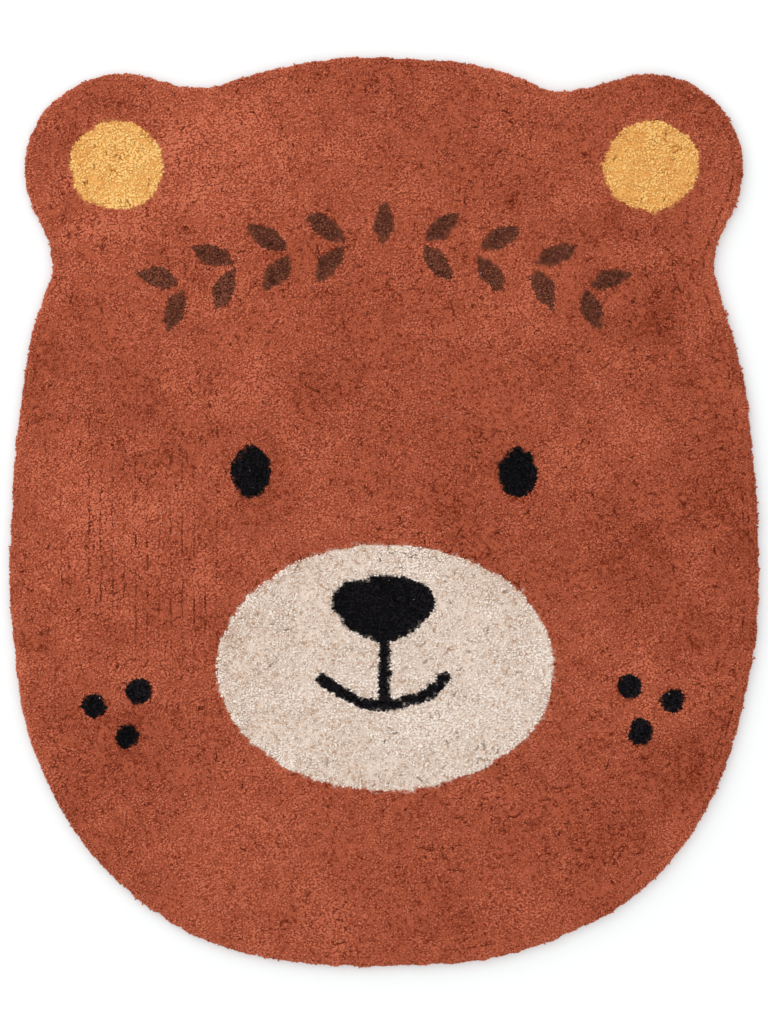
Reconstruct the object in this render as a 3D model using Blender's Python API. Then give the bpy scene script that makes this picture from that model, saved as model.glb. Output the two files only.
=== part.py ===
"""Kids rug: one flat tufted rug, cut to a plain bear's head with two round ears.

Metres, +Z up. The rug lies on its flat underside at z = 0, with the crown of
the head towards +Y and the chin towards -Y. The origin is the middle of the
underside. The solid reaches as far as the tips of the pile do.
"""

import math

import bmesh
import bpy
import numpy as np
from mathutils import Vector, noise

# Size of the whole rug
LENGTH = 1.200  # crown to chin
WIDTH = 0.990  # cheek to cheek
THICKNESS = 0.017  # backing and pile together

# Head: a superellipse that is a little fuller at the cheeks than at the crown
HEAD_SQUARENESS = 2.45
CHEEK_FULLNESS = 0.060

# Ears: two discs that run into the head with a soft fillet
EAR_RADIUS = 0.126
EAR_X = 0.350
EAR_Y = 0.452
EAR_FILLET = 0.060

# The edge was cut by hand, so it wanders: waves round the rug, size, phase
EDGE_WAVES = (
    (3, 0.0016, 0.4),
    (7, 0.0011, 2.1),
    (11, 0.0009, 4.4),
    (19, 0.0006, 1.3),
)
OUTLINE_STEP = 0.014  # distance between the points of the outline
FINE_RAYS = 2400  # rays that look for the edge before it is spaced evenly
HALVINGS = 40  # halvings of a ray in the search for the edge

# Edge of the pile, seen in section
TOP_ROUND = 0.009  # the pile's tips fall away over this width
UNDER_ROUND = 0.004  # the backing stops this far inside the pile
TOP_ROUND_STEPS = 3
UNDER_ROUND_STEPS = 2

# Unevenness of the pile's surface
GRID = 0.042  # spacing of the points that carry it
GRID_SNAP = 0.004  # a grid line closer than this to a point runs through it
LUMP_DEPTH = 0.0022  # lowest places lie this far under the highest
LUMP_SPAN = 0.110  # from one lump to the next
NOISE_REACH = 0.6  # the noise that shapes the lumps seldom goes past this

# Cut cotton pile, matt
RUST = (0.356, 0.074, 0.037, 1.0)
PILE_ROUGHNESS = 0.95
SHARP_ANGLE = math.radians(50)  # edges sharper than this aren't shaded smooth

# Limits for telling one face or point from another
WELD = 0.00001  # points closer than this are one point
SAME_LEVEL = 0.0002  # heights closer than this are the same height
FLAT_NORMAL = 0.99  # a face whose normal is this upright is flat


def clear_scene():
    for obj in list(bpy.data.objects):
        bpy.data.objects.remove(obj, do_unlink=True)


def head_field(x, y):
    """About how far (x, y) lies outside the head; negative inside it."""
    half_width = WIDTH / 2 * (1 - CHEEK_FULLNESS * y / (LENGTH / 2))
    across = abs(x) / half_width
    along = abs(y) / (LENGTH / 2)
    n = HEAD_SQUARENESS
    return ((across**n + along**n) ** (1 / n) - 1) * WIDTH / 2


def ear_field(x, y):
    """How far (x, y) lies outside the nearer ear; negative inside it."""
    return math.hypot(abs(x) - EAR_X, y - EAR_Y) - EAR_RADIUS


def rug_field(x, y):
    """Head and ears in one, with the fillet where they meet."""
    head, ear = head_field(x, y), ear_field(x, y)
    near = max(EAR_FILLET - abs(head - ear), 0) / EAR_FILLET
    return min(head, ear) - near * near * EAR_FILLET / 4


def edge_radius(angle):
    """Distance from the middle of the rug to its edge, in one direction."""
    inside, outside = 0.0, LENGTH
    for _ in range(HALVINGS):
        middle = (inside + outside) / 2
        if rug_field(middle * math.cos(angle), middle * math.sin(angle)) < 0:
            inside = middle
        else:
            outside = middle
    wander = sum(size * math.sin(waves * angle + phase) for waves, size, phase in EDGE_WAVES)
    return inside + wander


def outline():
    """The rug's edge as evenly spaced points, centred and at its real size."""
    angles = np.linspace(0, math.tau, FINE_RAYS + 1)
    radii = np.array([edge_radius(angle) for angle in angles])
    ring = np.stack([radii * np.cos(angles), radii * np.sin(angles)], axis=1)
    lengths = np.linalg.norm(np.diff(ring, axis=0), axis=1)
    along = np.concatenate([[0], np.cumsum(lengths)])
    count = round(along[-1] / OUTLINE_STEP)
    at = np.arange(count) * along[-1] / count
    points = np.stack([np.interp(at, along, ring[:, axis]) for axis in (0, 1)], axis=1)
    low, high = points.min(axis=0), points.max(axis=0)
    return (points - (low + high) / 2) * np.array([WIDTH, LENGTH]) / (high - low)


def slab_mesh(points):
    """The outline as a flat slab with square edges, standing on z = 0."""
    curve = bpy.data.curves.new("rug_outline", "CURVE")
    curve.dimensions = "2D"
    curve.fill_mode = "BOTH"
    curve.extrude = THICKNESS / 2
    spline = curve.splines.new("POLY")
    spline.points.add(len(points) - 1)
    for spline_point, (x, y) in zip(spline.points, points):
        spline_point.co = (x, y, 0, 1)
    spline.use_cyclic_u = True
    guide = bpy.data.objects.new("rug_outline", curve)
    bpy.context.scene.collection.objects.link(guide)
    bpy.context.view_layer.update()
    graph = bpy.context.evaluated_depsgraph_get()
    mesh = bpy.data.meshes.new_from_object(guide.evaluated_get(graph))
    bpy.data.objects.remove(guide, do_unlink=True)
    bpy.data.curves.remove(curve)
    return mesh


def rim_edges(bm, z):
    """The edges round the slab at one height."""
    level = [e for e in bm.edges if all(abs(v.co.z - z) < SAME_LEVEL for v in e.verts)]
    return [e for e in level if len({round(f.normal.z, 1) for f in e.link_faces}) > 1]


def merge_flat_faces(bm):
    """Makes the top one face and the underside another."""
    for side in (1, -1):
        faces = [f for f in bm.faces if f.normal.z * side > FLAT_NORMAL]
        inner = {e for f in faces for e in f.edges if all(g in faces for g in e.link_faces)}
        if inner:
            bmesh.ops.dissolve_edges(bm, edges=list(inner), use_verts=False)


def round_edges(bm):
    for z, width, steps in (
        (THICKNESS, TOP_ROUND, TOP_ROUND_STEPS),
        (0.0, UNDER_ROUND, UNDER_ROUND_STEPS),
    ):
        bmesh.ops.bevel(
            bm,
            geom=rim_edges(bm, z),
            offset=width,
            segments=steps,
            profile=0.5,
            affect="EDGES",
            clamp_overlap=True,
        )


def cut_grid(bm):
    """Cuts the top face into a grid, and leaves the rest as it is."""
    bm.normal_update()
    top = max(bm.faces, key=lambda f: f.calc_area() * f.normal.z)
    pieces = [top, *top.edges, *top.verts]
    for normal, reach in ((Vector((1, 0, 0)), WIDTH), (Vector((0, 1, 0)), LENGTH)):
        lines = math.floor(reach / 2 / GRID)
        for line in range(-lines, lines + 1):
            made = bmesh.ops.bisect_plane(
                bm,
                geom=pieces,
                dist=GRID_SNAP,
                plane_co=normal * line * GRID,
                plane_no=normal,
            )
            faces = {g for g in made["geom"] if isinstance(g, bmesh.types.BMFace)}
            edges = {e for f in faces for e in f.edges}
            verts = {v for f in faces for v in f.verts}
            pieces = [*faces, *edges, *verts]


def lay_lumps(bm):
    """Lowers the pile's surface by soft, shallow hollows."""
    for vert in bm.verts:
        height = vert.co.z / THICKNESS
        if height > 0.5:
            place = Vector((vert.co.x, vert.co.y, 0)) / LUMP_SPAN
            hollow = min(max(0.5 - 0.5 * noise.noise(place) / NOISE_REACH, 0), 1)
            vert.co.z -= LUMP_DEPTH * hollow * (2 * height - 1)


def yarn_material():
    material = bpy.data.materials.new("rust_cotton_pile")
    material.diffuse_color = RUST
    material.use_nodes = True
    shader = material.node_tree.nodes["Principled BSDF"]
    shader.inputs["Base Color"].default_value = RUST
    shader.inputs["Roughness"].default_value = PILE_ROUGHNESS
    shader.inputs["Metallic"].default_value = 0.0
    return material


def build_rug(collection):
    mesh = slab_mesh(outline())
    bm = bmesh.new()
    bm.from_mesh(mesh)
    bmesh.ops.remove_doubles(bm, verts=bm.verts, dist=WELD)
    bmesh.ops.translate(bm, verts=bm.verts, vec=(0, 0, THICKNESS / 2))
    bmesh.ops.recalc_face_normals(bm, faces=bm.faces)
    merge_flat_faces(bm)
    round_edges(bm)
    cut_grid(bm)
    lay_lumps(bm)
    bmesh.ops.recalc_face_normals(bm, faces=bm.faces)
    bm.to_mesh(mesh)
    bm.free()
    mesh.materials.clear()
    mesh.materials.append(yarn_material())
    mesh.shade_smooth()
    mesh.set_sharp_from_angle(angle=SHARP_ANGLE)
    rug = bpy.data.objects.new("rug", mesh)
    collection.objects.link(rug)


def main():
    clear_scene()
    collection = bpy.data.collections.new("kids_rug")
    bpy.context.scene.collection.children.link(collection)
    build_rug(collection)


main()
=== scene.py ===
"""Looks of the kids rug: a cut pile of single locks of cotton yarn, on its backing.

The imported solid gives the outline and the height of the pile. Metres, +Z up, the
crown of the bear's head towards +Y. Each lock of yarn is a slim wedge: it rises from
a point in the dense pile, leans over and ends in a cut face with three corners. Locks
of one yarn are joined meshes. A tone above 0 is lighter than usual, below 0 darker.
"""

import math

import bpy
import numpy as np
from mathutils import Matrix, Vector
from mathutils.bvhtree import BVHTree
from mathutils.geometry import delaunay_2d_cdt
from mathutils.kdtree import KDTree


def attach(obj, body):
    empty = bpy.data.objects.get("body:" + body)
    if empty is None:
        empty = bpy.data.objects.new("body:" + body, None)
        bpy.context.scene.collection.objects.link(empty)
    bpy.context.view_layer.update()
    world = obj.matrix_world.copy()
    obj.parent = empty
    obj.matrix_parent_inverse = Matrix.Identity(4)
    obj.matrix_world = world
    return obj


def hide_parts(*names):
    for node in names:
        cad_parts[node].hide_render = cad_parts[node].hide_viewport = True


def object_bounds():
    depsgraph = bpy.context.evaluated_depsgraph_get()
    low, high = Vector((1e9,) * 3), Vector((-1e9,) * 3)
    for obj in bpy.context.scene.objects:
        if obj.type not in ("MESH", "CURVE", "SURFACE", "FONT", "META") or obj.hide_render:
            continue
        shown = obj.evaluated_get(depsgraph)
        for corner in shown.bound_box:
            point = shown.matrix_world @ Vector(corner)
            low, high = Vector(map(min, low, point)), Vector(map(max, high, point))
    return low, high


LOCK_SEED, CLUMP_SEED, CRACK_SEED, PIT_SEED = 1498, 31, 41, 61
NOISE_CELLS = 64  # the soft noise repeats after this many hills

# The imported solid
WALL_Z = 0.004  # its side stands upright from here up
SAME_LEVEL = 0.0002
SAME_PLACE = 5  # decimals in which two corners of the outline differ
REACH_X, REACH_Y = 0.50, 0.61  # half the sides of a rectangle that holds the rug

# Yarns: dark, middle and light tone, gloss, and how much painted brush light and shade changes
# colour
YARNS = {
    "rust": dict(
        tones=((0.243, 0.030, 0.0075), (0.572, 0.140, 0.0695), (0.608, 0.163, 0.085)),
        sheen=0.10,
        brush_shading=0.075,
    ),
    "cream": dict(
        tones=((0.57, 0.36, 0.23), (0.985, 0.85, 0.745), (0.99, 0.885, 0.80)),
        sheen=0.10,
        brush_shading=0.02,
    ),
    "black": dict(
        tones=((0.0010, 0.0008, 0.0012), (0.0040, 0.0034, 0.0044), (0.016, 0.0135, 0.0165)),
        sheen=0.02,
        brush_shading=0.02,
    ),
    "mustard": dict(
        tones=((0.79, 0.33, 0.075), (0.995, 0.55, 0.165), (0.995, 0.64, 0.230)),
        sheen=0.10,
        brush_shading=0.02,
    ),
    "brown": dict(
        tones=((0.078, 0.021, 0.011), (0.155, 0.045, 0.025), (0.235, 0.075, 0.043)),
        sheen=0.10,
        brush_shading=0.02,
    ),
}
RUST, CREAM, BLACK, MUSTARD, BROWN = range(len(YARNS))
BANDS = 5  # the rust pile is this many pieces, from the chin to the crown

# Motifs: plain shapes, places and sizes. Left and right differ by a hair.
EAR_DISC = dict(x=0.352, y=0.456, across=0.062, along=0.059)
MUZZLE = dict(x=0.002, y=-0.205, across=0.222, along=0.162)
EYE = dict(x=0.176, y=0.052, across=0.026, along=0.034)
NOSE = dict(x=0.000, y=-0.128, across=0.066, along=0.043)
NOSE_TAPER = 0.24  # the nose is this much wider at its top than at its middle
MOUTH_WIDTH = 0.0155
MOUTH_TOP, MOUTH_LOW = -0.160, -0.252
SMILE = dict(x=0.000, y=-0.142, radius=0.112, half_angle=math.radians(47))
FRECKLE = 0.0165
FRECKLES = ((0.322, -0.232), (0.381, -0.252), (0.338, -0.292))
FRECKLE_SHIFT = 0.004  # the right cheek's sit this much higher, the left cheek's lower
LEAF_LENGTH, LEAF_WIDTH = 0.060, 0.027
GARLAND = dict(x=0.000, y=-0.270, radius=0.625)
GARLAND_STEP = math.radians(6.8)  # from one pair of leaves to the next
GARLAND_PAIRS = 4  # pairs of leaves on each side of the middle leaf
LEAF_SPLAY = math.radians(42)
LEAF_OFFSET = 0.024  # from the garland's line to the middle of a leaf
WAVER_X = (dict(size=0.0022, span=0.030, seed=11), dict(size=0.0014, span=0.0085, seed=13))
WAVER_Y = (dict(size=0.0022, span=0.030, seed=12), dict(size=0.0014, span=0.0085, seed=14))
YARN_SPOT = (0.3, 0.7)  # a lock has the yarn of this place between its root and its tip

# Painted light and shade: soft patches where the brushed pile catches more or less light.
# The broad ones are stronger at both sides, most of all on the left, and weaker at the chin.
BROAD_PATCHES = (
    dict(span=0.085, seed=21, middle=0.56, side=0.40, left=0.36),
    dict(span=0.034, seed=22, middle=0.46, side=0.34, left=0.34),
)
FINE_PATCHES = (dict(size=0.42, span=0.017, seed=23), dict(size=0.38, span=0.0078, seed=24))
SIDE_FULL, SIDE_MOST = 0.35, 1.2
LEFT_FULL = 0.30
CHIN_CALM, CHIN_FULL = 0.40, 0.35
TONE_FALL = 0.60  # painted shade: the right is darker, by this much a metre
PATCHES = (
    dict(x=-0.235, y=0.455, reach=0.100, tone=1.3),
    dict(x=-0.245, y=0.350, reach=0.070, tone=0.6),
    dict(x=-0.390, y=0.100, reach=0.070, tone=0.5),
    dict(x=-0.350, y=-0.010, reach=0.060, tone=0.2),
    dict(x=-0.240, y=-0.090, reach=0.050, tone=0.9),
    dict(x=-0.345, y=-0.215, reach=0.042, tone=1.1),
    dict(x=-0.345, y=-0.325, reach=0.055, tone=-1.6),
    dict(x=-0.445, y=-0.170, reach=0.055, tone=-0.9),
    dict(x=-0.425, y=-0.400, reach=0.040, tone=-0.8),
    dict(x=-0.190, y=-0.430, reach=0.080, tone=0.4),
    dict(x=-0.060, y=-0.555, reach=0.050, tone=0.7),
    dict(x=0.075, y=-0.560, reach=0.050, tone=-0.5),
    dict(x=0.285, y=-0.420, reach=0.050, tone=-0.7),
    dict(x=0.350, y=-0.240, reach=0.042, tone=1.0),
    dict(x=0.395, y=-0.335, reach=0.060, tone=-1.6),
    dict(x=0.410, y=-0.450, reach=0.050, tone=0.8),
    dict(x=0.470, y=-0.040, reach=0.085, tone=-0.9),
    dict(x=0.300, y=-0.040, reach=0.055, tone=-0.6),
    dict(x=0.155, y=0.005, reach=0.050, tone=-0.8),
    dict(x=-0.045, y=0.150, reach=0.080, tone=-0.45),
    dict(x=0.365, y=0.240, reach=0.045, tone=-1.0),
    dict(x=0.310, y=0.400, reach=0.050, tone=-0.6),
    dict(x=0.205, y=0.290, reach=0.050, tone=0.4),
    dict(x=-0.310, y=0.290, reach=0.040, tone=-0.5),
)

# Rough and smooth places. FLOW_SPREAD, DROOP, LOCK_SHARE, CLUMP_TONE and LOCK_TONE are
# pairs: the first value is for smooth places, the second for rough ones.
ROUGH_MIDDLE = 0.48
ROUGH = (
    dict(size=0.50, span=0.048, seed=62),
    dict(size=0.45, span=0.017, seed=63),
    dict(size=0.20, span=0.0075, seed=64),
)

# Seams, where the pile parts. Cracks and pits are the roughest of some places tried.
SEAM_STEP = 0.0011  # from point to point along a seam
TRIES = 3  # places tried for each crack or pit
CRACKS = 1500
CRACK_AREA = (0.49, 0.59)
CRACK_SPAN = 0.075  # cracks gather in places about this far apart
CRACK_PLACES = (
    dict(size=1.0, span=CRACK_SPAN, seed=47),
    dict(size=0.5, span=CRACK_SPAN / 3, seed=48),
)
CRACK_SCATTER = 0.45
CRACK_DEPTH = (0.5, 1.0)
CRACK_SHAPE, CRACK_SCALE, CRACK_LEAST = 2.0, 1.7, 3  # of the number of steps in a crack
UPRIGHT_SHARE, UPRIGHT_LEFT = 0.3, 0.6  # of the cracks, and how many more on the left
CRACK_SLANT = 0.55  # the others run across the rug, give or take this angle
CRACK_TURN, CRACK_BEND = 0.3, 0.16  # of a whole crack, and from step to step
CRACK_CHIN, CRACK_LEFT, LEFT_START = 0.3, 0.25, 0.3  # where the chin and the left begin
ROW_COUNT, ROW_START, ROW_STEP = 12, -0.388, 0.0153
ROW_LOW, ROW_HIGH = -0.25, 0.15
ROW_WANDER = dict(size=0.0009, span=0.030, seed=43)
ROW_MIDDLE, ROW_BREAKS = 0.24, dict(size=0.80, span=0.0085, seed=44)
ROW_REACH, ROW_CENTRE, ROW_SINK = 0.14, -0.010, 0.008  # each row sits lower than the last
ROW_LEAST = 0.15  # a row shallower than this isn't seen
RIM_SEAMS = (dict(inset=0.0138, seed=45, less=0.0), dict(inset=0.0205, seed=46, less=0.25))
RIM_DEPTH = (dict(size=1.5, span=0.045, seed=0), dict(size=0.5, span=0.012, seed=5))
RIM_WHOLE, RIM_BREAKS = 0.45, dict(size=1.1, span=0.0055, seed=7)
RIM_WANDER = dict(size=0.0012, span=0.020, seed=9)
RIM_SHADED = 0.35  # deeper by this at the lower right, where the light doesn't reach
RIM_DEEPEST, RIM_LEAST = 0.8, 0.1
PITS = 12000  # small openings between locks, darkened with painted shade
PIT_AREA = (0.5, 0.6)
PIT_SCATTER = 0.30
PIT_DEPTH = (0.45, 1.0)

# Locks of the open pile
PITCH = 0.00216  # from lock to lock
JITTER = 0.62  # of the pitch
OPEN_PILE = 0.0033  # the locks stand this far out of the dense pile
ROOT_DEPTH = 0.0040  # of a lock, under the dense pile's top
LOCK_WIDTH = 0.0028
LOCK_STRETCH = 1.4  # a cut end is this much longer than wide
STRETCH_RANGE = (0.4, 1.5)  # of that
CUT_SCALE = (1.08, 0.92, 1.0)
LOCK_SHARE = (1.20, 0.92)  # of the usual width
LOCK_VARIETY, LOCK_LIMITS = 0.22, (0.6, 1.6)
FLOOR_GAP = 0.0004  # no yarn hangs lower than this
EDGE_FALL = dict(size=0.0022, reach=0.004)  # locks beside the edge lean out more

# How the locks of the open pile lean: which way, how far, and how much neighbours differ
LEAN = 0.0034
LEAN_VARIETY, LEAN_LIMITS = 0.45, (0.15, 1.8)
FLOW = (dict(size=3.0, span=0.060, seed=51), dict(size=2.6, span=0.013, seed=52))
FLOW_SPREAD = (0.375, 1.125)
LEAN_X = dict(usual=1.30, chin=0.25, cheek=-0.75)
LEAN_Y = dict(usual=0.68, chin=-0.14, cheek=0.79)
LEAN_CHIN = 0.30
CHEEK = dict(x=-0.36, y=0.00, across=0.16, along=0.30)  # locks lie along the rows there
CLUMP_PITCH = 0.0070  # tufts of a few locks draw together
CLUMP_PULL = 0.18
CLUMP_KINDS = 997  # different clumps, one in each square cell
CLUMP_STRIDES = (313, 71)  # from a cell's kind to its neighbour's

# How far the tips end below the pile's surface
DROOP = (0.000805, 0.00414)
DROOP_SHAPE = (1.3, 2.6)
DROOP_TONE, DROOP_LIMITS = 0.25, (0.6, 1.4)  # light places stand higher
DROOP_CLUMP, CLUMP_LIMITS = 0.0003, (-1.5, 1)
SWELL, SWELL_SPAN, SWELL_SEED = 0.0004, 0.0085, 53
TIP_LEAST = 0.0011  # a tip stands at least this far out of the dense pile
SEAM_PUSH = 0.0011  # tips closer than twice this are pushed aside
SEAM_WIDTH, SEAM_DROP = 0.0011, 0.0028
PIT_WIDTH, PIT_DROP = 0.0018, 0.0020
SEAM_THINNER = 0.3  # locks in a seam or a pit are this much narrower

# Tone of the locks of the open pile, with painted shade in seams, pits and some rough places
CLUMP_TONE = (0.07, 0.24)
LOCK_TONE = (0.74, 1.64)
# Painted shade: this share of the rough places' locks is darkened as if they sat deep in gaps
SHADED_LOCKS, SHADED_LOCK_TONE = 0.07, 1.2
# Painted shade: locks in a seam or a pit are darkened as the shade in the parting would darken them
SEAM_PAINTED_SHADE, PIT_PAINTED_SHADE = 3.2, 6.0
SHADE_MIDDLE, SHADE_TONE, SHADE_SCATTER = 0.67, 0.31, 0.03

# Locks of the rim, in rows over the rounded edge, which rises from EDGE_FOOT to the top
EDGE_ROUND = 0.0115
EDGE_FOOT = 0.0055
UNDER_HIGH, UNDER_IN = 0.0047, 0.0036  # of the edge's small round underneath
RIM_ANGLES = np.radians((-58, -26, 2, 15, 28, 41, 54, 67, 80))
RIM_SCATTER = 0.12  # radians by which a lock's angle differs from its row's
RIM_PITCH = 0.0026
RIM_LOCK = 0.0053  # length of the rim's locks
RIM_BUMPS = (dict(size=0.0011, span=0.013, seed=72), dict(size=0.0011, span=0.0062, seed=73))
RIM_DROOP = 0.0018
RIM_SWELL, RIM_SWELL_SPAN, RIM_SWELL_SEED = 0.0004, 0.011, 71
RIM_SHIFT, RIM_SIDEWAYS = 0.0013, 0.0022
RIM_VARIETY, RIM_LIMITS = 0.2, (0.6, 1.5)
RIM_ROOT_LOW, RIM_TIP_LOW = 0.0016, 0.0012
# Painted highlight on rim rows that face out and on outward bumps, painted shade in the edge's
# notches; the first value also scatters the rim locks' tone at random
RIM_HIGHLIGHT_AND_SCATTER, RIM_HIGHLIGHT_FROM, BUMP_HIGHLIGHT = 0.9, 0.4, 500
STRAYS = 0.025  # share of the rim's locks that stick out
STRAY_LENGTH = (0.0010, 0.0026)
FIELD_FROM = 0.0113  # the open pile begins this far inside the outline

# Specks of pale lint, slim and a little higher than the rest
LINT_BLACK, LINT = 0.0012, 0.00025  # share of the locks
LINT_WIDTH, LINT_RISE = 0.25, 0.0008

# The dense pile and the backing, one closed sheet under the locks
BED_STEP = 0.0068
BED_RINGS = (  # inset from the outline and height, from the top's edge to the underside
    dict(inset=0.0116, z=0.0134),
    dict(inset=0.0066, z=0.0121),
    dict(inset=0.0041, z=0.0092),
    dict(inset=0.0032, z=0.0056),
    dict(inset=0.0044, z=0.0017),
    dict(inset=0.0060, z=0.0000),
)
BED_MARGIN = 0.0015  # between the top's edge and the points inside it
SEAM_DEPTH = 0.0036  # the dense pile dips by this much under a parting
SEAM_SIDE = 0.0022  # from the bottom of a dip to its sides
SEAM_EVERY = 3  # the dense pile follows every third point of a seam
GRID_CLEAR, SIDE_CLEAR = 1.3, 0.8  # of SEAM_SIDE, from a seam to other points
WELD = 1e-7
BED_SHADED_TONE = 0.76  # painted shade: the dense pile is coloured this far from a yarn's dark tone to its middle one
# Painted shade at the bottom of a seam's dip
DIP_PAINTED_SHADE = 0.55

# Fibres and threads
FIBRES = dict(scale=1400.0, detail=3.0)
FIBRE_TONE, FIBRE_MEAN = 0.50, 0.25
STRANDS = dict(scale=820.0, detail=1.0)
STRAND_TONE, STRAND_MEAN = 4.0, 2.00
# Painted shade: a lock darkens towards its root, deep in the pile, and lightens towards its cut end
ROOT_SHADE_TONE, ROOT_SHADE_MEAN = 0.30, 0.27
BRUSH_SHADING_SHARES = (0.8, 1.15, 1.3)  # painted brush shading changes red the least and blue the most
BED_FIBRES = dict(scale=900.0, detail=3.0)
CANVAS_DARK, CANVAS_LIGHT = (0.42, 0.36, 0.28), (0.66, 0.58, 0.46)
THREADS, THREAD_WAVER = 180.0, 0.6
MATT_SPECULAR = 0.12
SOFTENING = 0.55  # share of straight up that is added to a lock's normal

# The studio. The camera looks straight down, as the photograph does.
FRAME_HEIGHT = 1.3462  # of floor, across the height of the picture
LENS, SENSOR = 85.0, 36.0
FLOOR_SIZE, FLOOR_DROP = 40, 0.0004
FLOOR_COLOUR = (0.925, 0.95, 0.952, 1)
KEY_LIGHT = dict(place=(-2.55, 2.65, 2.3), size=3.6, power=52.0)
SKY = 1.01

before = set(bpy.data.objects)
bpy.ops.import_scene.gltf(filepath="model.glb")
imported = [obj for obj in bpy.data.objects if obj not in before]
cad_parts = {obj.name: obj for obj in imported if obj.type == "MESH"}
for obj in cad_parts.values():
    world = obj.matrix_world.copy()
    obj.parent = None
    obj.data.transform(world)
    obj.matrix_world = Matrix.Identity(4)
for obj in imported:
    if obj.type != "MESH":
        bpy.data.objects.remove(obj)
cad_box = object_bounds()
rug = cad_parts["rug"]
rng = np.random.default_rng(LOCK_SEED)


def soft_noise(x, y, span, seed):
    """Smooth noise from about -1 to 1, with hills about `span` apart."""
    cells = np.random.default_rng(seed).uniform(-1, 1, (NOISE_CELLS, NOISE_CELLS))
    u, v = x / span, y / span
    i, j = np.floor(u).astype(int), np.floor(v).astype(int)
    fu, fv = u - i, v - j
    fu, fv = fu * fu * (3 - 2 * fu), fv * fv * (3 - 2 * fv)
    left, right = i % NOISE_CELLS, (i + 1) % NOISE_CELLS
    low, high = j % NOISE_CELLS, (j + 1) % NOISE_CELLS
    below = cells[left, low] * (1 - fu) + cells[right, low] * fu
    above = cells[left, high] * (1 - fu) + cells[right, high] * fu
    return below * (1 - fv) + above * fv


def layered(x, y, layers, seed=0):
    """Noise of several spans, added up. The seed is added to each layer's own."""
    return sum(row["size"] * soft_noise(x, y, row["span"], row["seed"] + seed) for row in layers)


def between(pair, share):
    """From the pair's first value to its second as the share goes from 0 to 1."""
    return pair[0] + (pair[1] - pair[0]) * share


def unit(vectors):
    return vectors / np.maximum(np.linalg.norm(vectors, axis=1, keepdims=True), 1e-9)


def solid_outline():
    """The rug's outline, anticlockwise, from where the solid's side stands upright."""
    points = np.array([v.co for v in rug.data.vertices])
    ring = points[abs(points[:, 2] - WALL_Z) < SAME_LEVEL][:, :2]
    ring = np.unique(ring.round(SAME_PLACE), axis=0)
    return ring[np.argsort(np.arctan2(ring[:, 1], ring[:, 0]))]


def spaced(ring, step):
    """Points `step` apart along a closed ring, and the direction out of it at each."""
    closed = np.vstack([ring, ring[:1]])
    along = np.concatenate([[0], np.cumsum(np.linalg.norm(np.diff(closed, axis=0), axis=1))])
    at = np.arange(0, along[-1] - step / 2, step)
    points = np.stack([np.interp(at, along, closed[:, axis]) for axis in (0, 1)], axis=1)
    ahead = np.roll(points, -1, axis=0) - np.roll(points, 1, axis=0)
    return points, unit(np.stack([ahead[:, 1], -ahead[:, 0]], axis=1))


def to_edge(points, ring):
    """How far each point lies inside the ring, negative outside, and the way out."""
    runs = np.roll(ring, -1, axis=0) - ring
    lengths = (runs * runs).sum(axis=1)
    distance = np.empty(len(points))
    outward = np.empty((len(points), 2))
    batch = 8000
    for first in range(0, len(points), batch):
        some = points[first : first + batch]
        offset = some[:, None] - ring
        share = np.clip((offset * runs).sum(axis=2) / lengths, 0, 1)
        gap = share[..., None] * runs - offset
        square = (gap * gap).sum(axis=2)
        nearest = square.argmin(axis=1)
        rows = np.arange(len(some))
        distance[first : first + batch] = np.sqrt(square[rows, nearest])
        outward[first : first + batch] = gap[rows, nearest]
    angles = np.arctan2(ring[:, 1], ring[:, 0])
    headings = np.arctan2(points[:, 1], points[:, 0])
    reach = np.interp(headings, angles, np.hypot(*ring.T), period=math.tau)
    distance[np.hypot(*points.T) > reach] *= -1
    return distance, unit(outward)


def surface_height(points):
    """Height of the solid's top under each point."""
    tree = BVHTree.FromObject(rug, bpy.context.evaluated_depsgraph_get())
    start = cad_box[1].z + 0.01
    down = Vector((0, 0, -1))
    hits = (tree.ray_cast(Vector((x, y, start)), down)[0] for x, y in points)
    return np.array([0.0 if hit is None else hit.z for hit in hits])


def in_ellipse(x, y, shape, side=1):
    across = (x - side * shape["x"]) / shape["across"]
    along = (y - shape["y"]) / shape["along"]
    return across**2 + along**2 < 1


def in_nose(x, y):
    height = (y - NOSE["y"]) / NOSE["along"]
    across = (x - NOSE["x"]) / (NOSE["across"] * (1 + NOSE_TAPER * height))
    return across**2 + height**2 < 1


def in_mouth(x, y):
    """A short upright line from the nose, and a smile with round ends."""
    line = (abs(x) < MOUTH_WIDTH / 2) & (y < MOUTH_TOP) & (y > MOUTH_LOW)
    dx, dy = x - SMILE["x"], y - SMILE["y"]
    turn = np.arctan2(dx, -dy)
    arc = abs(np.hypot(dx, dy) - SMILE["radius"]) < MOUTH_WIDTH / 2
    smile = arc & (abs(turn) < SMILE["half_angle"])
    for side in (-1, 1):
        end = side * SMILE["half_angle"]
        cap_x, cap_y = SMILE["radius"] * math.sin(end), -SMILE["radius"] * math.cos(end)
        smile |= np.hypot(dx - cap_x, dy - cap_y) < MOUTH_WIDTH / 2
    return line | smile


def in_leaf(x, y, middle, direction):
    """A pointed leaf of the common kind."""
    dx, dy = x - middle[0], y - middle[1]
    along = (dx * math.cos(direction) + dy * math.sin(direction)) / (LEAF_LENGTH / 2)
    across = (dy * math.cos(direction) - dx * math.sin(direction)) / (LEAF_WIDTH / 2)
    return abs(across) < 1 - along * along


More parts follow.
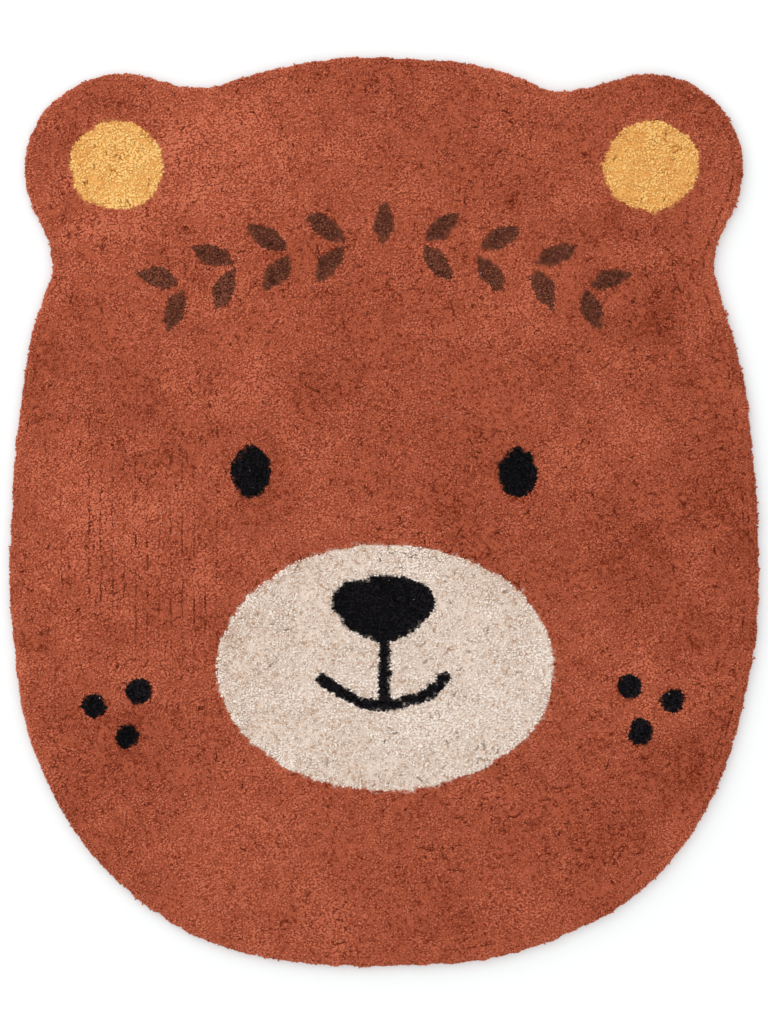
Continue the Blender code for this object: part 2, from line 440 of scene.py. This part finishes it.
def in_garland(x, y):
    """An arc of paired leaves over the forehead, with one upright leaf in its middle."""
    top = (GARLAND["x"], GARLAND["y"] + GARLAND["radius"] + LEAF_OFFSET)
    found = in_leaf(x, y, top, math.pi / 2)
    for side in (-1, 1):
        for pair in range(1, GARLAND_PAIRS + 1):
            angle = math.pi / 2 - side * GARLAND_STEP * pair
            ahead = angle - side * math.pi / 2
            for sway in (-1, 1):
                radius = GARLAND["radius"] + sway * LEAF_OFFSET
                middle = (
                    GARLAND["x"] + radius * math.cos(angle),
                    GARLAND["y"] + radius * math.sin(angle),
                )
                found |= in_leaf(x, y, middle, ahead + side * sway * LEAF_SPLAY)
    return found


def in_freckles(x, y):
    found = np.zeros(len(x), bool)
    for side in (-1, 1):
        for fx, fy in FRECKLES:
            found |= np.hypot(x - side * fx, y - fy - FRECKLE_SHIFT * side) < FRECKLE
    return found


def yarn_at(points):
    """Which yarn is tufted at each point."""
    x, y = points.T
    x, y = x + layered(x, y, WAVER_X), y + layered(x, y, WAVER_Y)
    yarn = np.full(len(x), RUST)
    for side in (-1, 1):
        yarn[in_ellipse(x, y, EAR_DISC, side)] = MUSTARD
    yarn[in_garland(x, y)] = BROWN
    yarn[in_ellipse(x, y, MUZZLE)] = CREAM
    for side in (-1, 1):
        yarn[in_ellipse(x, y, EYE, side)] = BLACK
    yarn[in_nose(x, y) | in_mouth(x, y) | in_freckles(x, y)] = BLACK
    return yarn


def brushed_light_and_shade(points):
    """Painted light and shade of the brushed pile at each point, as a tone."""
    x, y = points.T
    side = np.clip(abs(x) / SIDE_FULL, 0, SIDE_MOST)
    left = np.clip(-x / LEFT_FULL, 0, 1)
    calm = 1 - CHIN_CALM * np.clip(-y / CHIN_FULL, 0, 1)
    tone = layered(x, y, FINE_PATCHES) - TONE_FALL * x
    for broad in BROAD_PATCHES:
        strength = broad["middle"] + (broad["side"] + broad["left"] * left) * side
        tone += strength * calm * soft_noise(x, y, broad["span"], broad["seed"])
    for patch in PATCHES:
        far = np.hypot(x - patch["x"], y - patch["y"]) / patch["reach"]
        tone += patch["tone"] * np.exp(-(far**2))
    return tone


def rough_places(points):
    """0 where the pile lies smooth, 1 where it stands rough."""
    return (ROUGH_MIDDLE + layered(*points.T, ROUGH)).clip(0, 1)


def nearest_clump(points):
    """The middle of the clump that each point belongs to, and the clump's tone."""
    draw = np.random.default_rng(CLUMP_SEED)
    shifts = draw.uniform(0.1, 0.9, (CLUMP_KINDS, 2))
    tones = draw.normal(0, 1, CLUMP_KINDS)
    cell = np.floor(points / CLUMP_PITCH).astype(int)
    best = np.full(len(points), np.inf)
    found = np.zeros_like(points)
    tone = np.zeros(len(points))
    for di in (-1, 0, 1):
        for dj in (-1, 0, 1):
            near = cell + (di, dj)
            kind = (near * CLUMP_STRIDES).sum(axis=1) % CLUMP_KINDS
            middle = (near + shifts[kind]) * CLUMP_PITCH
            far = np.linalg.norm(middle - points, axis=1)
            closer = far < best
            best[closer] = far[closer]
            found[closer] = middle[closer]
            tone[closer] = tones[kind][closer]
    return found, tone


def crack_lines():
    """Short cracks where the pile parts, as points along each and how deep it is."""
    draw = np.random.default_rng(CRACK_SEED)
    area = np.array(CRACK_AREA)
    spots = draw.uniform(-area, area, (CRACKS * TRIES, 2))
    rough = layered(*spots.T, CRACK_PLACES)
    order = np.argsort(rough + draw.normal(0, CRACK_SCATTER, len(spots)))
    found = []
    for place in spots[order[-CRACKS:]]:
        chin = np.clip(-place[1] / CRACK_CHIN, 0, 1)
        left = np.clip(-place[0] / CRACK_LEFT - LEFT_START, 0, 1) * (1 - chin)
        if draw.random() > UPRIGHT_SHARE + UPRIGHT_LEFT * left:
            heading = draw.normal(0, CRACK_SLANT)
        else:
            heading = math.pi / 2
        heading += draw.normal(0, CRACK_TURN)
        depth = draw.uniform(*CRACK_DEPTH)
        steps = int(draw.gamma(CRACK_SHAPE, CRACK_SCALE)) + CRACK_LEAST
        for step in range(steps):
            # Shallow at both ends
            fade = math.sin(math.pi * (step + 0.7) / (steps + 0.4))
            found.append((*place, depth * math.sqrt(fade)))
            heading += draw.normal(0, CRACK_BEND)
            place = place + SEAM_STEP * np.array([math.cos(heading), math.sin(heading)])
    return np.array(found)


def row_lines():
    """The faint upright rows in which the left cheek was tufted."""
    y = np.arange(ROW_LOW, ROW_HIGH, SEAM_STEP)
    level = np.zeros(len(y))
    found = []
    for row in range(ROW_COUNT):
        x = ROW_START + ROW_STEP * row + layered(y, level + row, [ROW_WANDER])
        depth = ROW_MIDDLE + layered(y, level + row * 0.1, [ROW_BREAKS])
        depth *= np.exp(-(((y - ROW_CENTRE + ROW_SINK * row) / ROW_REACH) ** 4))
        found.append(np.column_stack([x, y, depth])[depth > ROW_LEAST])
    return np.concatenate(found)


def rim_lines(ring):
    """Seams that follow the edge, just inside the outermost locks."""
    points, outward = spaced(ring, SEAM_STEP)
    x, y = points.T
    shaded = RIM_SHADED * np.clip(x / 0.4 - y / 0.5, -1, 1)
    found = []
    for row in RIM_SEAMS:
        seed = row["seed"]
        depth = layered(x, y, RIM_DEPTH, seed) + (shaded - row["less"])
        breaks = (RIM_WHOLE + layered(x, y, [RIM_BREAKS], seed)).clip(0, 1)
        depth = RIM_DEEPEST * depth.clip(0, 1) * breaks
        inset = row["inset"] + layered(x, y, [RIM_WANDER], seed)
        seam = np.column_stack([points - outward * inset[:, None], depth])
        found.append(seam[depth > RIM_LEAST])
    return np.concatenate(found)


def pit_points():
    """Small openings between locks, closer together where the pile is rough."""
    draw = np.random.default_rng(PIT_SEED)
    area = np.array(PIT_AREA)
    spots = draw.uniform(-area, area, (PITS * TRIES, 2))
    order = np.argsort(rough_places(spots) + draw.normal(0, PIT_SCATTER, len(spots)))
    return np.column_stack([spots[order[-PITS:]], draw.uniform(*PIT_DEPTH, PITS)])


def seam_points(ring):
    return np.concatenate([crack_lines(), row_lines(), rim_lines(ring)])


def parting(points, seams):
    """The nearest seam of each point: how deep it is, how far, and the way from it."""
    tree = KDTree(len(seams))
    for number, (x, y, _) in enumerate(seams):
        tree.insert((x, y, 0), number)
    tree.balance()
    nearest = np.array([tree.find((x, y, 0))[1] for x, y in points])
    away = points - seams[nearest, :2]
    return seams[nearest, 2], np.linalg.norm(away, axis=1), unit(away)


def field_points(ring):
    """Staggered rows of roots, how far each lies inside the edge, and the way out."""
    across = np.arange(-REACH_X, REACH_X, PITCH)
    along = np.arange(-REACH_Y, REACH_Y, PITCH)
    x, y = np.meshgrid(across, along, indexing="ij")
    y = y + (np.arange(len(across)) % 2)[:, None] * PITCH / 2
    points = np.stack([x.ravel(), y.ravel()], axis=1)
    points += rng.uniform(-JITTER, JITTER, points.shape) * PITCH
    inside, outward = to_edge(points, ring)
    keep = inside > FIELD_FROM
    return points[keep], inside[keep], outward[keep]


def field_lean(points, rough):
    """The way from each lock's root to its tip, seen from above."""
    count = len(points)
    x, y = points.T
    angle = layered(x, y, FLOW) + rng.normal(0, 1, count) * between(FLOW_SPREAD, rough)
    reach = LEAN * np.clip(1 + LEAN_VARIETY * rng.normal(size=count), *LEAN_LIMITS)
    chin = np.clip(-y / LEAN_CHIN, 0, 1)
    across, along = (x - CHEEK["x"]) / CHEEK["across"], (y - CHEEK["y"]) / CHEEK["along"]
    cheek = np.exp(-(across**2) - along**2)
    stretch_x, stretch_y = (
        kind["usual"] + kind["chin"] * chin + kind["cheek"] * cheek for kind in (LEAN_X, LEAN_Y)
    )
    way = np.stack([np.cos(angle) * stretch_x, np.sin(angle) * stretch_y], axis=1)
    return way * reach[:, None]


def field_locks(ring, seams):
    """The open pile: staggered rows, with each lock leaning its own way."""
    points, inside, outward = field_points(ring)
    count = len(points)
    clump, clump_tone = nearest_clump(points)
    brush_light_and_shade = brushed_light_and_shade(points)
    rough = rough_places(points)
    lean = field_lean(points, rough)
    lean += CLUMP_PULL * (clump - points)
    fall = EDGE_FALL["size"] * np.exp(-(inside - FIELD_FROM) / EDGE_FALL["reach"])
    lean += outward * fall[:, None]
    depth, far, away = parting(points + lean, seams)
    lean += away * (depth * (SEAM_PUSH - far / 2).clip(0, None))[:, None]
    parted = depth * np.exp(-((far / SEAM_WIDTH) ** 2))
    pit_depth, pit_far, _ = parting(points + lean, pit_points())
    pit = pit_depth * np.exp(-((pit_far / PIT_WIDTH) ** 2))

    top = surface_height(points)
    droop = between(DROOP, rough) * np.clip(1 - DROOP_TONE * brush_light_and_shade, *DROOP_LIMITS)
    sunk = droop * rng.beta(*DROOP_SHAPE, count) - DROOP_CLUMP * clump_tone.clip(*CLUMP_LIMITS)
    sunk += SWELL * (1 + soft_noise(*points.T, SWELL_SPAN, SWELL_SEED))
    sunk = sunk.clip(0, OPEN_PILE - TIP_LEAST)
    tip_z = top - sunk - SEAM_DROP * parted - PIT_DROP * pit

    width = LOCK_WIDTH * np.exp(rng.normal(0, LOCK_VARIETY, count)).clip(*LOCK_LIMITS)
    width *= (1 - SEAM_THINNER * (parted + pit)) * between(LOCK_SHARE, rough)
    tone = brush_light_and_shade + between(CLUMP_TONE, rough) * clump_tone
    # Painted shade on the locks in seams and pits
    tone -= SEAM_PAINTED_SHADE * parted + PIT_PAINTED_SHADE * pit
    tone += between(LOCK_TONE, rough) * (1 - rng.exponential(1, count))
    # Painted shade: some locks of rough places darkened as if deep in gaps
    tone -= SHADED_LOCK_TONE * (rng.random(count) < SHADED_LOCKS * rough)
    return dict(
        root=np.column_stack([points, top - OPEN_PILE - ROOT_DEPTH]),
        tip=np.column_stack([points + lean, tip_z]),
        width=width,
        tone=tone,
        brush_light_and_shade=brush_light_and_shade,
    )


def rim_row(ring, number, angle):
    """One row of locks round the edge, at one angle up its rounded side."""
    points, outward = spaced(ring, RIM_PITCH)
    count = len(points)
    slide = rng.uniform(-0.5, 0.5, count) * RIM_PITCH + (number % 2) * RIM_PITCH / 2
    sideways = np.stack([-outward[:, 1], outward[:, 0]], axis=1)
    points = points + sideways * slide[:, None]
    bumps = layered(*points.T, RIM_BUMPS)
    points = points + outward * bumps[:, None]
    turn = angle + rng.normal(0, RIM_SCATTER, count)
    sunk = RIM_DROOP * rng.beta(*DROOP_SHAPE, count)
    sunk += RIM_SWELL * (1 + soft_noise(*points.T, RIM_SWELL_SPAN, RIM_SWELL_SEED))
    sunk -= (rng.random(count) < STRAYS) * rng.uniform(*STRAY_LENGTH, count)
    out, up = np.cos(turn), np.sin(turn)
    tip_in = np.where(turn > 0, EDGE_ROUND, UNDER_IN) * (1 - out) + sunk * out
    tip_z = EDGE_FOOT + np.where(turn > 0, EDGE_ROUND, UNDER_HIGH) * up - sunk * up
    shift = rng.normal(0, RIM_SHIFT, count)  # along the rounded edge
    lean = sideways * rng.normal(0, RIM_SIDEWAYS, count)[:, None]
    root_in = tip_in + RIM_LOCK * out - shift * up
    root_z = (tip_z - RIM_LOCK * up - shift * out).clip(RIM_ROOT_LOW, None)
    tip = np.column_stack([points - outward * tip_in[:, None] + lean, tip_z.clip(RIM_TIP_LOW, None)])
    brush_light_and_shade = brushed_light_and_shade(tip[:, :2])
    width = LOCK_WIDTH * np.exp(rng.normal(0, RIM_VARIETY, count)).clip(*RIM_LIMITS)
    # Painted highlight where the rim faces out or bulges, painted shade where it dips in
    tone = brush_light_and_shade + RIM_HIGHLIGHT_AND_SCATTER * max(math.cos(angle) - RIM_HIGHLIGHT_FROM, 0) + BUMP_HIGHLIGHT * bumps
    tone += RIM_HIGHLIGHT_AND_SCATTER * (1 - rng.exponential(1, count))
    root = np.column_stack([points - outward * root_in[:, None], root_z])
    return dict(root=root, tip=tip, width=width, tone=tone, brush_light_and_shade=brush_light_and_shade)


def joined(parts):
    """The same values of several groups of locks, end to end."""
    return {key: np.concatenate([part[key] for part in parts]) for key in parts[0]}


def rim_locks(ring):
    """Rows of locks round the edge, which cover the backing's side."""
    return joined([rim_row(ring, number, angle) for number, angle in enumerate(RIM_ANGLES)])


# A lock's points are its root and the corners of its cut end
LOCK_CORNERS = 3
LOCK_FACES = np.array([[0, 2, 1], [0, 3, 2], [0, 1, 3], [1, 2, 3]])
LOCK_HEIGHTS = np.array([0.0, 1.0, 1.0, 1.0])


def lock_points(locks):
    """The root of each lock, and the corners of its cut end."""
    root, tip, width = locks["root"], locks["tip"], locks["width"]
    count = len(root)
    run = tip - root
    ahead = unit(np.column_stack([run[:, :2], np.zeros(count)]))
    side = np.column_stack([-ahead[:, 1], ahead[:, 0], np.zeros(count)])
    other = np.cross(unit(run), side)
    turn = rng.uniform(0, math.tau, count)
    stretch = 1 + (LOCK_STRETCH - 1) * rng.uniform(*STRETCH_RANGE, count)
    points = np.empty((count, LOCK_CORNERS + 1, 3))
    points[:, 0] = root
    for k in range(LOCK_CORNERS):
        angle = turn + k * math.tau / LOCK_CORNERS
        spoke = side * np.cos(angle)[:, None] + other * (stretch * np.sin(angle))[:, None]
        points[:, 1 + k] = tip + spoke * (width / 2)[:, None] * CUT_SCALE
    # The highest corner lies at the tip's height
    points[..., 2] -= (points[..., 2].max(axis=1) - tip[:, 2])[:, None]
    points[..., 2] = points[..., 2].clip(FLOOR_GAP, None)
    return points


def mesh_from(name, points, faces):
    mesh = bpy.data.meshes.new(name)
    mesh.vertices.add(len(points))
    mesh.vertices.foreach_set("co", points.astype(np.float32).ravel())
    mesh.loops.add(faces.size)
    mesh.loops.foreach_set("vertex_index", faces.astype(np.int32).ravel())
    mesh.polygons.add(len(faces))
    mesh.polygons.foreach_set("loop_start", np.arange(0, faces.size, 3, dtype=np.int32))
    mesh.update(calc_edges=True)
    mesh.shade_smooth()
    return mesh


def add_values(mesh, name, values):
    layer = mesh.attributes.new(name, "FLOAT", "POINT")
    layer.data.foreach_set("value", values.astype(np.float32).ravel())


def add_map(mesh, points, faces):
    """A map of the piece as seen from above, so that each lock keeps its own colour."""
    low, high = points[:, :2].min(axis=0), points[:, :2].max(axis=0)
    spots = (points[faces.ravel(), :2] - low) / (high - low)
    margin = 0.002
    layer = mesh.uv_layers.new(name="OFBake")
    layer.data.foreach_set("uv", (margin + (1 - 2 * margin) * spots).astype(np.float32).ravel())


def pile_piece(name, locks, chosen, material):
    """One joined mesh of the chosen locks."""
    picked = {key: values[chosen] for key, values in locks.items()}
    count, corners, _ = picked["points"].shape
    points = picked["points"].reshape(-1, 3)
    faces = (np.arange(count)[:, None, None] * corners + LOCK_FACES).reshape(-1, 3)
    mesh = mesh_from(name, points, faces)
    add_values(mesh, "shade", np.repeat(picked["shade"], corners))
    add_values(mesh, "brush_light_and_shade", np.repeat(picked["brush_light_and_shade"], corners))
    add_values(mesh, "up", np.tile(LOCK_HEIGHTS, count))
    add_map(mesh, points, faces)
    mesh.materials.append(material)
    piece = bpy.data.objects.new(name, mesh)
    bpy.context.scene.collection.objects.link(piece)
    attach(piece, "root")
    return piece


def link(tree, source, target):
    tree.links.new(source, target)


def new_material(name, roughness, specular=MATT_SPECULAR):
    material = bpy.data.materials.new(name)
    material.use_nodes = True
    shader = material.node_tree.nodes["Principled BSDF"]
    shader.inputs["Roughness"].default_value = roughness
    shader.inputs["Specular IOR Level"].default_value = specular
    return material, material.node_tree, shader


def ramp(tree, factor, stops):
    node = tree.nodes.new("ShaderNodeValToRGB")
    while len(node.color_ramp.elements) < len(stops):
        node.color_ramp.elements.new(1.0)
    for element, (place, colour) in zip(node.color_ramp.elements, stops):
        element.position = place
        element.color = (*colour, 1.0)
    link(tree, factor, node.inputs["Fac"])
    return node.outputs["Color"]


def attribute(tree, name, output="Fac"):
    node = tree.nodes.new("ShaderNodeAttribute")
    node.attribute_name = name
    return node.outputs[output]


def noise(tree, scale, detail):
    place = tree.nodes.new("ShaderNodeTexCoord")
    node = tree.nodes.new("ShaderNodeTexNoise")
    node.inputs["Scale"].default_value = scale
    node.inputs["Detail"].default_value = detail
    link(tree, place.outputs["Object"], node.inputs["Vector"])
    return node.outputs["Fac"]


def maths(tree, operation, *values):
    node = tree.nodes.new("ShaderNodeMath")
    node.operation = operation
    for socket, value in zip(node.inputs, values):
        if isinstance(value, (int, float)):
            socket.default_value = value
        else:
            link(tree, value, socket)
    return node.outputs["Value"]


def vector_maths(tree, operation, *vectors):
    node = tree.nodes.new("ShaderNodeVectorMath")
    node.operation = operation
    for socket, vector in zip(node.inputs, vectors):
        link(tree, vector, socket)
    return node


def bumped(tree, height, strength, distance):
    bump = tree.nodes.new("ShaderNodeBump")
    bump.inputs["Strength"].default_value = strength
    bump.inputs["Distance"].default_value = distance
    link(tree, height, bump.inputs["Height"])
    return bump.outputs["Normal"]


def softened(tree, normal):
    """Yarn scatters light, so a lock is shaded as if it faced up more than it does."""
    up = tree.nodes.new("ShaderNodeVectorTransform")
    up.vector_type = "NORMAL"
    up.convert_from = "OBJECT"
    up.convert_to = "WORLD"
    up.inputs["Vector"].default_value = (0.0, 0.0, 1.0)
    scaled = vector_maths(tree, "SCALE", up.outputs["Vector"])
    scaled.inputs["Scale"].default_value = SOFTENING
    both = vector_maths(tree, "ADD", scaled.outputs["Vector"], normal)
    return vector_maths(tree, "NORMALIZE", both.outputs["Vector"]).outputs["Vector"]


def yarn_material(name, tones, sheen, brush_shading):
    """Matt cotton: tone from lock to lock, painted shade that darkens the roots, and fine fibres."""
    material, tree, shader = new_material(name + "_yarn", 0.92)
    fibres = noise(tree, **FIBRES)
    strands = noise(tree, **STRANDS)
    tone = maths(tree, "MULTIPLY_ADD", fibres, FIBRE_TONE, attribute(tree, "shade"))
    tone = maths(tree, "MULTIPLY_ADD", strands, STRAND_TONE, tone)
    # Painted shade, darker towards each lock's root
    tone = maths(tree, "MULTIPLY_ADD", attribute(tree, "up"), ROOT_SHADE_TONE, tone)
    tone = maths(tree, "SUBTRACT", tone, FIBRE_MEAN + STRAND_MEAN + ROOT_SHADE_MEAN)
    colour = ramp(tree, tone, list(zip((0.0, 0.5, 1.0), tones)))
    # Painted light and shade of the brushed pile, as a factor on each colour channel
    paler = tree.nodes.new("ShaderNodeCombineXYZ")
    for socket, share in zip(paler.inputs, BRUSH_SHADING_SHARES):
        factor = maths(tree, "MULTIPLY_ADD", attribute(tree, "brush_light_and_shade"), brush_shading * share, 1.0)
        link(tree, factor, socket)
    brush_shaded_colour = vector_maths(tree, "MULTIPLY", colour, paler.outputs["Vector"])
    link(tree, brush_shaded_colour.outputs["Vector"], shader.inputs["Base Color"])
    shader.inputs["Sheen Weight"].default_value = sheen
    shader.inputs["Sheen Roughness"].default_value = 0.6
    shader.inputs["Sheen Tint"].default_value = (*tones[-1], 1.0)
    normal = bumped(tree, strands, 0.25, 0.0005)
    link(tree, softened(tree, normal), shader.inputs["Normal"])
    return material


def bed_material():
    """The dense pile seen between the locks: yarn colours darkened with painted shade, and fine
    fibres.
    """
    material, tree, shader = new_material("pile_bed", 0.95)
    fibres = noise(tree, **BED_FIBRES)
    mix = tree.nodes.new("ShaderNodeMix")
    mix.data_type = "RGBA"
    mix.blend_type = "MULTIPLY"
    mix.inputs["Factor"].default_value = 0.5
    link(tree, attribute(tree, "yarn_colour_with_shade", "Color"), mix.inputs["A"])
    link(tree, ramp(tree, fibres, ((0.3, (0.5, 0.5, 0.5)), (0.7, (1, 1, 1)))), mix.inputs["B"])
    link(tree, mix.outputs["Result"], shader.inputs["Base Color"])
    link(tree, bumped(tree, fibres, 0.6, 0.001), shader.inputs["Normal"])
    return material


def canvas_material():
    """Plain woven cotton: fine threads both ways."""
    material, tree, shader = new_material("cotton_canvas", 0.9)
    place = tree.nodes.new("ShaderNodeTexCoord")
    threads = []
    for direction in ("X", "Y"):
        wave = tree.nodes.new("ShaderNodeTexWave")
        wave.bands_direction = direction
        wave.inputs["Scale"].default_value = THREADS
        wave.inputs["Distortion"].default_value = THREAD_WAVER
        link(tree, place.outputs["Object"], wave.inputs["Vector"])
        threads.append(wave.outputs["Fac"])
    weave = maths(tree, "MAXIMUM", *threads)
    colour = ramp(tree, weave, ((0.0, CANVAS_DARK), (1.0, CANVAS_LIGHT)))
    link(tree, colour, shader.inputs["Base Color"])
    link(tree, bumped(tree, weave, 0.5, 0.0004), shader.inputs["Normal"])
    return material


def bed_spots(edge, ring, seams):
    """Corners and triangles of the dense pile's top, with seams' bottoms and sides."""
    grid = np.meshgrid(
        np.arange(-REACH_X, REACH_X, BED_STEP), np.arange(-REACH_Y, REACH_Y, BED_STEP), indexing="ij"
    )
    inner = np.stack([axis.ravel() for axis in grid], axis=1)
    inner = inner[parting(inner, seams)[1] > SEAM_SIDE * GRID_CLEAR]
    ahead = unit(np.roll(seams[:, :2], -1, axis=0) - seams[:, :2])[::SEAM_EVERY]
    line = seams[::SEAM_EVERY, :2]
    beside = np.column_stack([-ahead[:, 1], ahead[:, 0]]) * SEAM_SIDE
    sides = np.vstack([line + beside, line - beside])
    sides = sides[parting(sides, seams)[1] > SEAM_SIDE * SIDE_CLEAR]
    inner = np.vstack([inner, line, sides])
    inner = inner[to_edge(inner, ring)[0] > BED_RINGS[0]["inset"] + BED_MARGIN]
    corners = [Vector(spot) for spot in np.vstack([edge, inner])]
    border = [(i, (i + 1) % len(edge)) for i in range(len(edge))]
    spots, _, triangles, *_ = delaunay_2d_cdt(corners, border, [], 1, WELD)
    return np.array([tuple(spot) for spot in spots]), [list(triangle) for triangle in triangles]


def side_faces(starts, count):
    """Quads between rings of `count` points that begin at these numbers."""
    faces = []
    for upper, lower in zip(starts, starts[1:]):
        for i in range(count):
            j = (i + 1) % count
            faces.append([upper + i, lower + i, lower + j, upper + j])
    return faces


def bed_colours(places, dip):
    """Colour of the dense pile with painted shade, darker still at the bottom of a seam."""
    tones = np.array([yarn["tones"][:2] for yarn in YARNS.values()])[yarn_at(places)]
    colours = tones[:, 0] + (tones[:, 1] - tones[:, 0]) * BED_SHADED_TONE
    colours[: len(dip)] *= 1 - DIP_PAINTED_SHADE * dip[:, None]
    return np.column_stack([colours, np.ones(len(colours))])


def bed_piece(ring, seams, canvas, bed):
    """Dense pile and backing as one closed sheet, flat underneath."""
    edge, outward = spaced(ring, BED_STEP)
    count = len(edge)
    rings = [edge - outward * row["inset"] for row in BED_RINGS]
    spots, faces = bed_spots(rings[0], ring, seams)
    depth, far, _ = parting(spots, seams)
    dip = depth * (far < SEAM_SIDE / 2)
    top_z = surface_height(spots) - OPEN_PILE - SEAM_DEPTH * dip
    top_z[:count] = BED_RINGS[0]["z"]
    layers = [np.column_stack([spots, top_z])]
    for flat_ring, row in zip(rings[1:], BED_RINGS[1:]):
        layers.append(np.column_stack([flat_ring, np.full(count, row["z"])]))
    points = np.vstack(layers)
    starts = [0] + [len(spots) + k * count for k in range(len(rings) - 1)]
    faces += side_faces(starts, count)
    faces.append([starts[-1] + i for i in reversed(range(count))])
    mesh = bpy.data.meshes.new("rug_backing")
    mesh.from_pydata(points.tolist(), [], faces)
    mesh.materials.append(bed)
    mesh.materials.append(canvas)
    underside = len(faces) - 1
    mesh.polygons[underside].material_index = 1
    for face in mesh.polygons[:underside]:
        face.use_smooth = True
    layer = mesh.color_attributes.new("yarn_colour_with_shade", "FLOAT_COLOR", "POINT")
    layer.data.foreach_set("color", bed_colours(points[:, :2], dip).ravel())
    piece = bpy.data.objects.new("rug_backing", mesh)
    bpy.context.scene.collection.objects.link(piece)
    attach(piece, "root")
    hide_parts("rug")
    return piece


def make_pile(ring, seams):
    """All locks, each with its yarn, in one joined mesh for each yarn or band."""
    locks = joined([field_locks(ring, seams), rim_locks(ring)])
    count = len(locks["root"])
    root_share, tip_share = YARN_SPOT
    yarn = yarn_at(root_share * locks["root"][:, :2] + tip_share * locks["tip"][:, :2])
    lint = rng.random(count) < np.where(yarn == BLACK, LINT_BLACK, LINT)
    yarn[lint] = CREAM
    locks["width"][lint] *= LINT_WIDTH
    locks["tip"][lint, 2] += LINT_RISE
    locks["points"] = lock_points(locks)
    locks["shade"] = SHADE_MIDDLE + SHADE_TONE * locks["tone"] + rng.normal(0, SHADE_SCATTER, count)
    pieces = []
    for number, (name, looks) in enumerate(YARNS.items()):
        material = yarn_material(name, **looks)
        mine = yarn == number
        if name == "rust":
            edges = np.quantile(locks["root"][mine, 1], np.linspace(0, 1, BANDS + 1))
            band = np.searchsorted(edges[1:-1], locks["root"][:, 1])
            for k in range(BANDS):
                chosen = mine & (band == k)
                pieces.append(pile_piece(f"pile_{name}_{k + 1}", locks, chosen, material))
        else:
            pieces.append(pile_piece("pile_" + name, locks, mine, material))
    return pieces


def make_floor():
    bpy.ops.mesh.primitive_plane_add(size=FLOOR_SIZE, location=(0, 0, -FLOOR_DROP))
    floor = bpy.context.object
    floor.name = "floor"
    material, _, shader = new_material("pale_floor", 0.9, specular=0.0)
    shader.inputs["Base Color"].default_value = FLOOR_COLOUR
    floor.data.materials.append(material)


def area_light(name, place, size, power):
    data = bpy.data.lights.new(name, "AREA")
    data.shape = "SQUARE"
    data.size = size
    data.energy = power
    light = bpy.data.objects.new(name, data)
    light.location = place
    light.rotation_euler = (-Vector(place)).to_track_quat("-Z", "Y").to_euler()
    bpy.context.scene.collection.objects.link(light)


def make_studio():
    """Even white light from all round, and one large soft lamp at the upper left."""
    world = bpy.data.worlds.new("studio")
    world.use_nodes = True
    background = world.node_tree.nodes["Background"]
    background.inputs["Color"].default_value = (1, 1, 1, 1)
    background.inputs["Strength"].default_value = SKY
    bpy.context.scene.world = world
    area_light("key", **KEY_LIGHT)
    bpy.context.scene.view_settings.view_transform = "Standard"


def make_camera():
    data = bpy.data.cameras.new("camera")
    data.lens = LENS
    data.sensor_width = SENSOR
    camera = bpy.data.objects.new("camera", data)
    camera.location = (0, 0, cad_box[1].z + FRAME_HEIGHT * LENS / SENSOR)
    bpy.context.scene.collection.objects.link(camera)
    bpy.context.scene.camera = camera


outline = solid_outline()
seams = seam_points(outline)
pile = make_pile(outline, seams)
backing = bed_piece(outline, seams, canvas_material(), bed_material())
make_floor()
make_studio()
make_camera()
